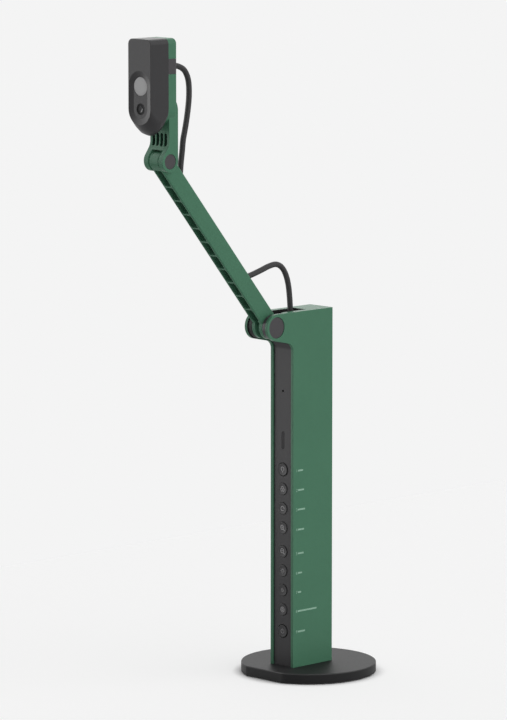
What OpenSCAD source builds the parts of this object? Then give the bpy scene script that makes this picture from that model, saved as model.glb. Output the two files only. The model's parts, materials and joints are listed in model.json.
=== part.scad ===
// Book scanner: a camera on a slim column with a round foot, a hinged arm and a tilting head.
// Millimetres, +Z up. The origin lies on the table under the middle of the foot, the buttons and
// the lens face -Y, and the arm swings in the plane X = 0.

/* [Foot] */
// Diameter of the foot
foot_d = 96; // [92:1:120]
// Height of the foot's top above the table
foot_h = 7.5; // [6:0.5:12]
// Distance from the middle of the foot to its flat front edge
foot_flat = 44.8; // [40:0.2:45]
// Bevel round the foot's top edge
foot_bevel = 0.4; // [0.3:0.1:1.5]
// Thickness of the round pad under the foot
pad_t = 1.6; // [1:0.1:2.5]
// How far the pad stands out below the foot
pad_proud = 0.6; // [0.3:0.1:0.9]
// Margin between the pad and the foot's flat edge
pad_margin = 3; // [2:0.5:6]
// Diameter of the four foot screws
screw_d = 3; // [2.5:0.1:3.5]
// Diameter of the foot screws' heads
screw_head_d = 5.6; // [5:0.1:6.5]
// Height of the foot screws' heads
screw_head_h = 2; // [1.5:0.1:2.5]

/* [Column] */
// Width of the column
col_w = 22.7; // [21:0.1:28]
// Distance of the column's front edges ahead of the foot's middle
col_front = 27; // [26:0.2:32]
// Distance of the column's back behind the foot's middle
col_back = 12.5; // [10:0.1:16]
// Height of the column's top above the table
col_top = 261; // [255:1:320]
// Thickness of the side and back walls
wall = 2.55; // [2:0.05:3]
// Thickness of the top
top_t = 2.5; // [2:0.1:4]
// Thickness of the floor that takes the foot screws
floor_t = 4; // [3:0.5:6]
// Radius of the upright back edges
back_r = 0.8; // [0.5:0.1:4]
// Width of the cable slot in the top
slot_w = 12; // [6:0.5:14]
// Distance of the slot's rear end ahead of the foot's middle
slot_end = 9.5; // [4:0.5:14]

/* [Button panel] */
// How far the panel is set back from the column's front edges
panel_inset = 1.05; // [0.6:0.05:1.6]
// Thickness of the panel
panel_t = 2; // [1.6:0.1:3]
// Diameter of the seven small buttons
button_d = 8.4; // [6:0.2:10]
// Diameter of the top and bottom buttons
big_button_d = 8.8; // [7:0.2:10]
// How far the buttons stand out of the panel
button_proud = 0.5; // [0.2:0.1:1.2]
// Travel of a button
button_travel = 0.8; // [0.4:0.1:1.2]
// Height of the bottom button above the table
power_up = 32.4; // [26:0.2:36]
// Step from the bottom button to the next
power_gap = 15.6; // [14:0.2:17]
// Step between buttons of one group
button_pitch = 13.9; // [13:0.1:14.5]
// Step between the two groups of four
group_gap = 16.8; // [14:0.2:18]
// Step from the top button to the middle of the indicator window
window_gap = 20.8; // [16:0.2:26]
// Width of the indicator window
window_w = 2.4; // [1.6:0.1:4]
// Length of the indicator window
window_l = 12.6; // [8:0.2:16]
// Step from the indicator window to the microphone hole
mic_gap = 35; // [20:1:39]
// Diameter of the microphone hole
mic_d = 1.7; // [1:0.1:3]

/* [Lower hinge] */
// Distance of the arm's pivot ahead of the column's front
pivot_ahead = 16.2; // [14:0.2:20]
// Radius of the column's ears
ear_r = 9.5; // [9.2:0.1:11]
// Slope of the ears' underside, in degrees
ear_slope = 12; // [6:1:16]
// Radius of the fillet between the ears and the column's front
ear_fillet = 6; // [4:0.5:8]
// Radius of the arm's knuckle and of the hubs beside it
knuckle_r = 8.6; // [8:0.1:9]
// Radius of the hubs' bosses in the ears
boss_r = 7.4; // [6:0.1:7.8]
// How far the bosses end below the ears' outer faces
boss_sunk = 0.5; // [0.3:0.1:1.6]
// Diameter of the lower axle
axle_d = 6; // [4:0.2:7]
// Wall of the bush round the lower axle
bush_wall = 1.2; // [0.8:0.1:1.4]

/* [Arm] */
// Distance between the pivots along the beam
arm_len = 158.7; // [140:0.1:200]
// Forward lean of the beam from upright, in degrees
arm_lean = 39.9; // [30:0.1:45]
// Width of the beam
arm_w = 10; // [9:0.1:11]
// Depth of the beam
arm_depth = 13.2; // [12:0.1:14]
// Radius of the beam's long edges
arm_edge_r = 1; // [0.4:0.1:1.4]
// Thickness of the beam's side walls
arm_wall = 1.6; // [1.2:0.1:2]
// Thickness of the beam's back
arm_web = 2; // [1.4:0.1:2.4]
// Number of ribs across the beam
rib_count = 10; // [4:1:12]
// Thickness of a rib
rib_t = 1.4; // [0.8:0.1:2]
// Distance of the first rib from the lower pivot
rib_first = 21.4; // [18:0.2:24]
// Distance of the last rib short of the upper pivot
rib_last = 18.7; // [16:0.1:24]
// Radius of the corners between the ribs
bay_r = 1.5; // [0.5:0.1:2.5]
// Width of the groove between the knuckle's two lobes
groove_w = 4; // [3:0.2:5]
// Radius of the core between the lobes
core_r = 5.6; // [5:0.1:7]

/* [Cable] */
// Diameter of the cable
cable_d = 4; // [3:0.1:4.2]
// Distance of the lower cable hole from the lower pivot
lower_hole = 40.6; // [39:0.2:42]
// Distance of the upper cable hole short of the upper pivot
upper_hole = 20.9; // [19:0.1:23]
// Length of the cable holes along the beam
hole_l = 9; // [8:0.5:10]
// Height of the cable clamp inside the column
clamp_h = 10; // [6:1:14]

/* [Upper hinge] */
// Radius of the head's ears
head_ear_r = 7.3; // [7:0.1:8.4]
// Slope of the ears' front from upright, in degrees
head_ear_slope = 36; // [30:1:46]
// Radius of the fillet between the ears and the neck
neck_fillet = 9; // [3:0.5:10]
// Width of the neck across the ears
neck_w = 18.8; // [18:0.1:20]
// Thickness of the neck
neck_t = 8.4; // [6:0.1:8.6]
// Height at which the neck's back ends above the pivot
neck_top = 42.5; // [36:0.5:50]
// Radius of the long round that leads the neck's back into the head
neck_top_r = 12; // [6:0.5:20]
// Diameter of the upper axle
head_axle_d = 4; // [3:0.2:5]
// Radius of the cover discs over the axle
cap_r = 5.1; // [4:0.1:5.8]
// Thickness of the cover discs
cap_t = 0.9; // [0.6:0.1:1.2]
// How far the cover discs lie below the ears' outer faces
cap_sunk = 0.3; // [0.1:0.1:0.6]
// Number of vent slots in the neck
vent_count = 4; // [2:1:4]
// Width of a vent slot
vent_w = 2.5; // [1:0.1:2.8]
// Spacing of the vent slots
vent_pitch = 3.9; // [3.6:0.05:4.4]
// Length of a vent slot
vent_l = 8; // [5:0.5:9]
// Depth of a vent slot
vent_depth = 4.6; // [2:0.2:5]
// Height of the middle of the vent slots above the pivot
vent_up = 14.2; // [13.5:0.1:15]

/* [Head] */
// Width of the head
head_w = 22.2; // [22:0.1:28]
// Distance of the head's front face ahead of the pivot
head_ahead = 19.85; // [18:0.05:24]
// Depth of the dark front body
head_depth = 16.7; // [15:0.1:20]
// Depth of the green back
back_depth = 7.85; // [5:0.05:8.6]
// Height of the head's top above the pivot
head_top = 83.8; // [80:0.1:100]
// Radius of the head's top corners
head_corner = 3.8; // [2:0.2:5]
// Radius of the front body's front edge
front_edge = 0.3; // [0.2:0.1:0.8]
// Radius of the back's rear edge
rear_edge = 1.2; // [0.6:0.1:1.8]
// Distance of the chin's lowest place behind the front face
chin_depth = 9.4; // [6:0.1:12]
// How much lower the chin ends there than at the front
chin_drop = 7.5; // [3:0.1:8]
// How much lower the head ends at the seam than at the front
seam_drop = 0.7; // [0:0.1:3]
// Height of the lens above the pivot
lens_up = 36.3; // [35:0.1:38]
// Distance of the light above the lens
light_gap = 15.4; // [14:0.1:17]
// Width of the rim between the dish and the head's sides
dish_rim = 0.5; // [0.5:0.05:2]
// Width of the dish's flat floor round the light
dish_floor = 0.2; // [0.2:0.1:1]
// Depth of the dish
dish_depth = 1; // [0.6:0.05:2]
// Thickness of the front wall under the dish
front_wall = 1.6; // [1:0.1:2.4]
// Thickness of the head's side walls
head_wall = 2.35; // [1.8:0.05:3]
// Diameter of the light's frosted disc
light_d = 12.8; // [10:0.2:13.2]
// Diameter of the lens barrel
barrel_d = 7.8; // [7:0.1:8.6]
// Diameter of the lens glass
lens_d = 6.2; // [4:0.1:6.4]
// Height of the lower edge of the cable entry above the pivot
port_low = 59.6; // [59:0.1:64]
// Height of the cable entry
port_h = 10.4; // [6:0.1:12]

/* [Fits] */
// Gap between pieces that are pushed together by hand
slip = 0.1; // [0.05:0.01:0.15]
// Gap round a turning pin
running = 0.04; // [0.02:0.01:0.08]
// Gap beside a turning knuckle
side_play = 0.2; // [0.06:0.02:0.3]
// Gap round the seven small buttons
button_play = 0.2; // [0.15:0.05:0.3]
// Gap round the top and bottom buttons
big_button_play = 0.5; // [0.2:0.05:0.6]

/* [Hidden] */
$fn = 64;

// Colours
green = "#47725a";
dark = "#47464a";
black = "#2d2d2e";
board = "#2f5d46";
metal = "#b4b6b8";

// Cuts run this far past the faces they break through
past = 1;
// Share of an edge's radius at the middle of its round, which two bands make
edge_low = 1 - cos(45);
// Facets of the rounds that a hull joins
hull_fn = 40;

// Inside of the column
bay_w = col_w - 2 * wall;
panel_y = panel_inset - col_front;
panel_back = panel_y + panel_t;
inner_back = col_back - wall;
inner_top = col_top - top_t;
inner_low = foot_h + floor_t;

// Lower hinge
pivot_y = -col_front - pivot_ahead;
pivot_z = col_top - ear_r;
hinge_gap = 0.6;
notch_gap = 1.1;
bay_front = pivot_y + knuckle_r + hinge_gap;
hub_in = arm_w / 2 + side_play;
hub_out = bay_w / 2;
axle_in = 0.2;
axle_end = hub_out + axle_in;
// Underside of the ears: where it leaves the ear, where it meets the front, and the fillet there
ear_leave = [pivot_y - ear_r * sin(ear_slope), pivot_z - ear_r * cos(ear_slope)];
ear_meet = [-col_front, ear_leave[1] - (-col_front - ear_leave[0]) * tan(ear_slope)];
fillet_mid = [-col_front - ear_fillet,
  ear_meet[1] + ear_fillet * tan(ear_slope) - ear_fillet / cos(ear_slope)];
fillet_top = fillet_mid + ear_fillet * [sin(ear_slope), cos(ear_slope)];

// Buttons, from the bottom one up
focus_up = power_up + power_gap;
zoom_up = focus_up + 3 * button_pitch + group_gap;
button_ups = concat([power_up], [for (i = [0:3]) focus_up + i * button_pitch],
  [for (i = [0:3]) zoom_up + i * button_pitch]);
light_button_up = button_ups[8];
window_up = light_button_up + window_gap;
mic_up = window_up + mic_gap;
button_ds = [for (i = [0:8]) i == 0 || i == 8 ? big_button_d : button_d];
button_plays = [for (i = [0:8]) i == 0 || i == 8 ? big_button_play : button_play];
button_bevel = 0.3;
flange_lap = 0.5;
flange_t = 0.8;
stem_d = 3;
stem_l = 1;
flange_y = panel_back + slip;
stem_end = flange_y + flange_t + stem_l;
plunger_d = 3;
plunger_h = 0.8;
switch_w = 6;
switch_h = 3;
switch_tip = stem_end + button_travel + slip;
board_t = 1.6;
board_y = switch_tip + plunger_h + switch_h;
board_gap = 0.2;
board_w = bay_w - 2 * board_gap;
board_margin = 8;
board_low = inner_low + slip;
board_high = mic_up + board_margin;
rail_w = 1.3;
rail_t = 1.5;
main_y = inner_back - rail_t - board_t;
main_high = 140;
socket_w = 9;
socket_h = 3.3;
socket_r = 1.2;
socket_wall = 0.4;
tongue_w = 6.7;
tongue_t = 0.7;
tongue_sunk = 0.6;
socket_rise = 12;
socket_up = inner_low + socket_rise;
screw_x = 5;
screw_ahead = 17;
screw_behind = 5;
screw_reach = 3;

// Arm, in a frame at the lower pivot with z along the beam and y to its back
web_y = knuckle_r - arm_web;
top_y = knuckle_r - arm_depth / 2;
bay_inner = arm_w - 2 * arm_wall;
rib_step = (arm_len - rib_first - rib_last) / (rib_count - 1);
bush_r = axle_d / 2 + running + bush_wall;
bays_low = knuckle_r + rib_t;
bays_high = arm_len - arm_depth / 2 - arm_wall;
duct_play = 0.8;
duct_w = cable_d + duct_play;
hole_play = 1;
hole_w = cable_d + hole_play;
upper_hole_z = arm_len - upper_hole;

// Upper hinge, and the head in a frame there
head_y = pivot_y - arm_len * sin(arm_lean) + top_y * cos(arm_lean);
head_z = pivot_z + arm_len * cos(arm_lean) + top_y * sin(arm_lean);
clevis_in = arm_w / 2 + side_play;
web_up = arm_depth / 2 + notch_gap;
cap_out = neck_w / 2 - cap_sunk;
cap_in = cap_out - cap_t;
head_front = -head_ahead;
seam_y = head_front + head_depth;
back_y = seam_y + back_depth;
light_up = lens_up + light_gap;
chin_up = lens_up - chin_drop;
seam_up = lens_up - seam_drop;
dish_y = head_front + dish_depth;
dish_r = head_w / 2 - dish_rim;
dish_floor_r = light_d / 2 + dish_floor;
cavity_y = dish_y + front_wall;
cavity_r = head_w / 2 - head_wall;
cavity_top = head_top - head_wall;
band_t = 0.5;
// The chin's rings, as shares of the way from its lowest place, and how the rings rise with them
chin_y = head_front + chin_depth;
chin_steps = [0, 0.35, 0.7];
chin_curve = 1.8;
rim_t = 1;
rim_w = 1;
neck_y = head_ear_r - neck_t;
// The neck's long round is drawn in until it ends inside the head's back
neck_root = 0.5;
neck_in = max(head_ear_r - back_y, 0) + neck_root;
neck_rise = sqrt(pow(neck_top_r, 2) - pow(neck_top_r - neck_in, 2));
// Front of the head's ears: where it leaves the ear, where it meets the neck, and the fillet there
lip_leave = head_ear_r * [-cos(head_ear_slope), sin(head_ear_slope)];
lip_meet = [neck_y, lip_leave[1] + (neck_y - lip_leave[0]) / tan(head_ear_slope)];
lip_mid = [neck_y - neck_fillet, lip_meet[1] + neck_fillet * tan(head_ear_slope / 2)];
lip_low = lip_mid + neck_fillet * [cos(head_ear_slope), -sin(head_ear_slope)];
small_board_w = 2 * cavity_r - 2 * board_gap;
small_board_t = 1.2;
light_board_h = 14;
sensor_board_h = 13;
lamp_w = 3;
lamp_h = 0.8;
lamp_pitch = 5;
barrel_l = 9;
glass_sunk = 0.5;
glass_t = 1.4;
glass_dome_r = 8;
iris_d = 3;

// Cables. Routes are [y, z] points: the lower one from the lower pivot, the upper one from the
// upper pivot, and the middle one in the arm's frame. At the arm's holes the outer cables end at
// points given from the hole, with y out of the beam's back and z along it.
cable_sides = 8;
cable_gap = 0.3;
duct_steps = 8;
duct_y = web_y - duct_w / 2;
exit_y = knuckle_r + cable_gap;
port_mid = port_low + port_h / 2;
function from_arm(p) = [p[0] * cos(arm_lean) - p[1] * sin(arm_lean),
  p[0] * sin(arm_lean) + p[1] * cos(arm_lean)];
lower_tail = [[13.2, -7.1], [6.2, -3.8], [0.2, -0.7]];
lower_route = concat([[24.7, 1], [24.5, 6.5], [24.2, 12], [23.5, 20], [22.2, 28], [19.6, 35.2],
  [15.6, 40.4], [10, 42.8], [3, 42]], [for (p = lower_tail) from_arm([exit_y, lower_hole] + p)]);
upper_tail = [[11.6, 12], [6, 7], [0.2, 1.4]];
upper_route = concat([[back_y + slip, port_mid], [9.6, 64.6], [14.4, 63.9], [18.4, 62.7], [21.8, 60.7],
  [24.2, 57.6], [25.8, 53.6], [26.5, 48.6], [26.5, 42], [25.7, 35], [24.4, 27.6], [22.8, 20.4], [20.9, 13]],
  [for (p = upper_tail) from_arm([exit_y - top_y, -upper_hole] + p)]);
// Bends at the ends of the duct, as the share of the way out of the beam and the distance from the hole
lower_bend = [[1, -0.6], [0.52, 0.3], [0.16, 2.4], [0, 6]];
upper_bend = [[0, -7.8], [0.16, -4.2], [0.48, -1.1], [1, 1.2]];
function in_duct(p, hole) = [duct_y + p[0] * (exit_y - duct_y), hole + p[1]];
duct_low = in_duct(lower_bend[3], lower_hole);
duct_high = in_duct(upper_bend[0], upper_hole_z);
arm_route = concat([for (p = lower_bend) in_duct(p, lower_hole)],
  [for (i = [1:duct_steps - 1]) duct_low + (duct_high - duct_low) * i / duct_steps],
  [for (p = upper_bend) in_duct(p, upper_hole_z)]);

// Shapes that repeat

module at_arm() {
  translate([0, pivot_y, pivot_z]) rotate([arm_lean, 0, 0]) children();
}

module at_head() {
  translate([0, head_y, head_z]) children();
}

// Extrudes an outline of [y, z] points across the part, evenly to both sides
module across(w) {
  rotate([90, 0, 90]) linear_extrude(w, center = true) children();
}

// Rod along X from one x to another
module rod_x(r, from, to) {
  translate([from, 0, 0]) rotate([0, 90, 0]) cylinder(r = r, h = to - from);
}

// Rod along Y from one y to another
module rod_y(r, from, to) {
  translate([0, from, 0]) rotate([-90, 0, 0]) cylinder(r = r, h = to - from);
}

// Cone along Y from one y to another
module cone_y(r1, r2, from, to) {
  translate([0, from, 0]) rotate([-90, 0, 0]) cylinder(r1 = r1, r2 = r2, h = to - from);
}

// Block across the middle, from one [y, z] corner to the other
module block(w, low, high) {
  translate([-w / 2, low[0], low[1]]) cube([w, high[0] - low[0], high[1] - low[1]]);
}

// Rectangle with round corners, centred
module round_rect(w, h, r) {
  square([w - 2 * r, h], center = true);
  square([w, h - 2 * r], center = true);
  for (x = [-1, 1], y = [-1, 1]) translate([x * (w / 2 - r), y * (h / 2 - r)]) circle(r);
}

// Slot with round ends, centred, its length along the second axis
module slot(w, l) {
  square([w, l - w], center = true);
  for (y = [-1, 1]) translate([0, y * (l - w) / 2]) circle(w / 2);
}

// Fills an inner corner between two tangent points with a concave round that is rooted in the
// solid behind the corner
module inner_round(corner, p, mid, q, r) {
  root = corner + past * (corner - mid) / norm(corner - mid);
  difference() {
    polygon([root, p, mid, q]);
    translate(mid) circle(r);
  }
}

// Tube along a route of [y, z] points
function heading(p, i) =
  let (a = p[max(i - 1, 0)], b = p[min(i + 1, len(p) - 1)]) (b - a) / norm(b - a);
function tube_ring(c, t, r) = [for (k = [0:cable_sides - 1]) let (a = 360 * k / cable_sides)
  [r * sin(a), c[0] - r * cos(a) * t[1], c[1] + r * cos(a) * t[0]]];

module tube(route, d) {
  n = cable_sides;
  last = (len(route) - 1) * n;
  points = [for (i = [0:len(route) - 1]) each tube_ring(route[i], heading(route, i), d / 2)];
  sides = [for (i = [0:len(route) - 2], k = [0:n - 1]) let (m = (k + 1) % n)
    each [[i * n + k, i * n + m, (i + 1) * n + m], [i * n + k, (i + 1) * n + m, (i + 1) * n + k]]];
  start = [for (k = [0:n - 1]) n - 1 - k];
  end = [for (k = [0:n - 1]) last + k];
  polyhedron(points, concat([start], sides, [end]));
}

// Foot

module foot_outline(inset) {
  difference() {
    circle(foot_d / 2 - inset, $fn = 128);
    translate([-foot_d / 2, -foot_flat + inset - foot_d]) square([foot_d, foot_d]);
  }
}

module each_screw() {
  for (x = [-1, 1], y = [-screw_ahead, screw_behind]) translate([x * screw_x, y, 0]) children();
}

module pad_disc(gap) {
  cylinder(r = min(foot_flat, foot_d / 2) - pad_margin + gap, h = pad_t, $fn = 128);
}

module base_plate() {
  color(black) difference() {
    union() {
      translate([0, 0, pad_proud]) linear_extrude(foot_h - pad_proud - foot_bevel) foot_outline(0);
      intersection() {
        translate([0, 0, foot_h - foot_bevel])
          cylinder(r1 = foot_d / 2, r2 = foot_d / 2 - foot_bevel, h = foot_bevel, $fn = 128);
        foot_front_bevel();
      }
    }
    pad_disc(slip);
    each_screw() {
      translate([0, 0, -past]) cylinder(d = screw_d + 2 * slip, h = foot_h + 2 * past);
      translate([0, 0, -past]) cylinder(d = screw_head_d + 2 * slip, h = past + pad_t + screw_head_h);
    }
  }
}

// Half space behind the foot's bevelled front edge
module foot_front_bevel() {
  low = foot_h - foot_bevel;
  across(foot_d) polygon([[-foot_flat, low], [foot_d, low], [foot_d, foot_h],
    [-foot_flat + foot_bevel, foot_h]]);
}

module base_pad() {
  color("#202020") pad_disc(0);
}

module base_screws() {
  color(metal) each_screw() {
    translate([0, 0, pad_t]) cylinder(d = screw_head_d, h = screw_head_h);
    translate([0, 0, pad_t]) cylinder(d = screw_d, h = foot_h + screw_reach - pad_t);
  }
}

// Column

module column_side() {
  translate([-col_front, foot_h]) square([col_front + col_back, col_top - foot_h]);
  translate([pivot_y, pivot_z]) circle(ear_r);
  polygon([[pivot_y, pivot_z], ear_leave, ear_meet, [-col_front, col_top], [pivot_y, col_top]]);
  inner_round(ear_meet, [-col_front, fillet_mid[1]], fillet_mid, fillet_top, ear_fillet);
}

// Rails on the side walls, behind a board
module rails(y, high) {
  for (x = [-1, 1]) translate([x * (bay_w - rail_w) / 2, 0, 0])
    block(rail_w, [y, inner_low], [y + rail_t, high]);
}

module column_shell() {
  color(green) union() {
    difference() {
      across(col_w) column_side();
      back_corners();
      block(bay_w, [pivot_y - 2 * ear_r, inner_low], [inner_back, inner_top]);
      block(bay_w, [pivot_y - 2 * ear_r, 0], [panel_back, inner_top]);
      block(bay_w, [pivot_y - 2 * ear_r, inner_low], [bay_front, col_top + past]);
      block(slot_w, [bay_front - past, inner_top - past], [-slot_end, col_top + past]);
      translate([0, pivot_y, pivot_z]) rod_x(boss_r + slip, -col_w, col_w);
      each_screw() cylinder(d = screw_d + 2 * slip, h = foot_h + screw_reach + slip);
      socket_hole();
    }
    rails(board_y + board_t, board_high);
    rails(main_y + board_t, main_high);
  }
}

// Cuts the upright back edges round
module back_corners() {
  for (x = [0, 1]) mirror([x, 0, 0]) translate([col_w / 2 - back_r, col_back - back_r, 0])
    difference() {
      cube([back_r + past, back_r + past, col_top + past]);
      translate([0, 0, -past]) cylinder(r = back_r, h = col_top + 3 * past);
    }
}

module socket_hole() {
  translate([0, col_back + past, socket_up]) rotate([90, 0, 0])
    linear_extrude(wall + 2 * past)
      round_rect(socket_w + 2 * slip, socket_h + 2 * slip, socket_r);
}

// Panel: an upright strip, then a round that follows the ears' fillet
module panel_side() {
  near_r = ear_fillet + panel_inset;
  translate([panel_y, foot_h]) square([panel_t, fillet_mid[1] - foot_h]);
  intersection() {
    translate(fillet_mid) difference() {
      circle(near_r + panel_t);
      circle(near_r);
    }
    polygon([fillet_mid, fillet_mid + [2 * near_r, 0], fillet_mid + [2 * near_r, 2 * near_r],
      [max(bay_front, fillet_top[0]), fillet_mid[1] + 2 * near_r],
      [max(bay_front, fillet_top[0]), fillet_mid[1]]]);
  }
}

module front_panel() {
  color(dark) difference() {
    across(bay_w - 2 * slip) panel_side();
    for (i = [0:8]) translate([0, 0, button_ups[i]])
      rod_y(button_ds[i] / 2 + button_plays[i], panel_y - past, panel_back + past);
    translate([0, 0, mic_up]) rod_y(mic_d / 2, panel_y - past, panel_back + past);
    translate([0, panel_back + past, window_up]) rotate([90, 0, 0])
      linear_extrude(panel_t + 2 * past) slot(window_w + 2 * slip, window_l + 2 * slip);
  }
}

module button(i) {
  r = button_ds[i] / 2;
  face = panel_y - button_proud;
  color("#55545a") translate([0, 0, button_ups[i]]) {
    cone_y(r - button_bevel, r, face, face + button_bevel);
    rod_y(r, face + button_bevel, flange_y);
    rod_y(r + button_plays[i] + flange_lap, flange_y, flange_y + flange_t);
    rod_y(stem_d / 2, flange_y + flange_t, stem_end);
  }
}

module control_board() {
  color(board) block(board_w, [board_y, board_low], [board_y + board_t, board_high]);
}

module tact_switches() {
  color("#303030") for (up = button_ups) translate([0, 0, up]) {
    block(switch_w, [switch_tip + plunger_h, -switch_w / 2], [board_y, switch_w / 2]);
    rod_y(plunger_d / 2, switch_tip, switch_tip + plunger_h);
  }
}

module microphone() {
  color(metal) translate([0, 0, mic_up]) rod_y(switch_w / 2, panel_back + slip, board_y);
}

module indicator_lens() {
  color("#3a393d") translate([0, 0, window_up]) {
    translate([0, panel_back, 0]) rotate([90, 0, 0]) linear_extrude(panel_t) slot(window_w, window_l);
    block(window_w / 2, [panel_back - past, (window_w - window_l) / 2], [board_y, (window_l - window_w) / 2]);
  }
}

module main_board() {
  color(board) block(board_w, [main_y, board_low], [main_y + board_t, main_high]);
}

module usb_socket() {
  depth = col_back - main_y - board_t;
  color(metal) translate([0, col_back, socket_up]) rotate([90, 0, 0]) {
    difference() {
      linear_extrude(depth) round_rect(socket_w, socket_h, socket_r);
      translate([0, 0, -past]) linear_extrude(depth + past - socket_wall)
        round_rect(socket_w - 2 * socket_wall, socket_h - 2 * socket_wall, socket_r - socket_wall);
    }
    translate([0, 0, tongue_sunk]) linear_extrude(depth - tongue_sunk)
      square([tongue_w, tongue_t], center = true);
  }
}

module cable_clamp() {
  top = pivot_z + lower_route[0][1];
  middle = pivot_y + lower_route[0][0];
  color(black) block(bay_w - 2 * slip, [middle - cable_d, top - clamp_h], [middle + cable_d, top]);
}

// Lower hinge

module hinge_hub(turn) {
  color(dark) translate([0, pivot_y, pivot_z]) rotate([0, 0, turn]) difference() {
    union() {
      rod_x(knuckle_r, hub_in, hub_out);
      rod_x(boss_r, hub_out - past, col_w / 2 - boss_sunk);
    }
    rod_x(axle_d / 2 + running, hub_in - past, axle_end + slip);
  }
}

module arm_axle() {
  color(metal) translate([0, pivot_y, pivot_z]) rod_x(axle_d / 2, -axle_end, axle_end);
}

// Arm

// Openings between the ribs, as [from, to] along the beam
function bays() = let (ribs = [for (i = [0:rib_count - 1]) rib_first + i * rib_step])
  [for (i = [0:rib_count]) [i == 0 ? bays_low : ribs[i - 1] + rib_t / 2,
    i == rib_count ? bays_high : ribs[i] - rib_t / 2]];

module cable_hole(z) {
  translate([0, knuckle_r + past, z]) rotate([90, 0, 0]) linear_extrude(arm_web + 2 * past)
    slot(hole_w, hole_l);
}

module arm_beam() {
  color(green) at_arm() difference() {
    union() {
      rod_x(knuckle_r, -arm_w / 2, arm_w / 2);
      translate([0, top_y, 0]) linear_extrude(arm_len) round_rect(arm_w, arm_depth, arm_edge_r);
      translate([0, top_y, arm_len]) rod_x(arm_depth / 2, -arm_w / 2, arm_w / 2);
    }
    for (bay = bays()) translate([0, web_y, (bay[0] + bay[1]) / 2]) rotate([90, 0, 0])
      linear_extrude(arm_depth) round_rect(bay_inner, bay[1] - bay[0], bay_r);
    knuckle_groove();
    block(duct_w, [web_y - duct_w, lower_hole - hole_l / 2], [web_y, upper_hole_z + hole_l / 2]);
    cable_hole(lower_hole);
    cable_hole(upper_hole_z);
    rod_x(bush_r + slip / 2, -arm_w, arm_w);
    translate([0, top_y, arm_len]) rod_x(head_axle_d / 2 + running, -arm_w, arm_w);
  }
}

// Open groove between the knuckle's lobes, round its core
module knuckle_groove() {
  difference() {
    block(groove_w, [-2 * knuckle_r, -2 * knuckle_r], [web_y, bays_low + past]);
    rod_x(core_r, -arm_w, arm_w);
  }
}

module arm_bush() {
  color("#b08d4a") at_arm() difference() {
    rod_x(bush_r, -arm_w / 2, arm_w / 2);
    rod_x(axle_d / 2 + running, -arm_w, arm_w);
  }
}

module arm_cable() {
  color(black) at_arm() tube(arm_route, cable_d);
}

module lower_cable() {
  color(black) translate([0, pivot_y, pivot_z]) tube(lower_route, cable_d);
}

module upper_cable() {
  color(black) at_head() tube(upper_route, cable_d);
}

// Head

// One band of the head's outline from one y to another, with its round chin at a height and the
// outline drawn in by an inset at each end
module head_band(from, to, chin, inset_from, inset_to) {
  for (x = [-1, 1]) translate([x * (head_w / 2 - head_corner), 0, head_top - head_corner])
    cone_y(head_corner - inset_from, head_corner - inset_to, from, to, $fn = hull_fn);
  translate([0, 0, chin])
    cone_y(head_w / 2 - inset_from, head_w / 2 - inset_to, from, to, $fn = hull_fn);
}

// Ring of the chin at a y and a height
module chin_ring(y, up) {
  translate([0, 0, up]) rod_y(head_w / 2, y, y + band_t, $fn = hull_fn);
}

module front_solid() {
  e = front_edge;
  hull() {
    head_band(head_front, head_front + e * edge_low, lens_up, e, e * edge_low);
    head_band(head_front + e * edge_low, head_front + e, lens_up, e * edge_low, 0);
    for (t = chin_steps) {
      rise = pow(t, chin_curve);
      chin_ring(chin_y - t * (chin_depth - e), chin_up + chin_drop * rise);
      chin_ring(chin_y + t * (seam_y - band_t - chin_y), chin_up + (chin_drop - seam_drop) * rise);
    }
    head_band(seam_y - band_t, seam_y, seam_up, 0, 0);
  }
}

module back_solid() {
  e = rear_edge;
  hull() {
    head_band(seam_y, back_y - e, seam_up, 0, 0);
    head_band(back_y - e, back_y - e * edge_low, seam_up, 0, e * edge_low);
    head_band(back_y - e * edge_low, back_y, seam_up, e * edge_low, e);
  }
}

// The head's back between two heights
module back_piece(low, high) {
  intersection() {
    back_solid();
    block(2 * head_w, [seam_y - past, low], [back_y + past, high]);
  }
}

// Stadium dish round the light and the lens; its sloped wall runs on past the front face
module dish() {
  slope = (dish_r - dish_floor_r) / dish_depth;
  hull() for (up = [lens_up, light_up]) translate([0, 0, up])
    cone_y(dish_r + past * slope, dish_floor_r, head_front - past, dish_y, $fn = hull_fn);
}

module head_housing() {
  color(dark) at_head() difference() {
    front_solid();
    dish();
    translate([0, seam_y + past, 0]) rotate([90, 0, 0])
      linear_extrude(seam_y + past - cavity_y) {
        translate([0, lens_up]) circle(cavity_r);
        translate([-cavity_r, lens_up]) square([2 * cavity_r, cavity_top - lens_up]);
      }
    translate([0, 0, light_up]) rod_y(light_d / 2 + slip, head_front - past, seam_y);
    translate([0, 0, lens_up]) rod_y(barrel_d / 2 + slip, head_front - past, seam_y);
  }
}

module head_cap() {
  color(green) at_head() back_piece(port_low + port_h, head_top + past);
}

module cable_port() {
  color(dark) at_head() back_piece(port_low, port_low + port_h);
}

module neck_side() {
  circle(head_ear_r);
  translate([neck_y, 0]) square([neck_t, neck_top - neck_rise]);
  intersection() {
    translate([neck_y, 0]) square([neck_t, neck_top]);
    translate([head_ear_r - neck_top_r, neck_top - neck_rise]) circle(neck_top_r, $fn = 128);
  }
  polygon([[0, 0], lip_leave, lip_meet, [head_ear_r, lip_meet[1]]]);
  inner_round(lip_meet, [neck_y, lip_mid[1]], lip_mid, lip_low, neck_fillet);
}

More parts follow.
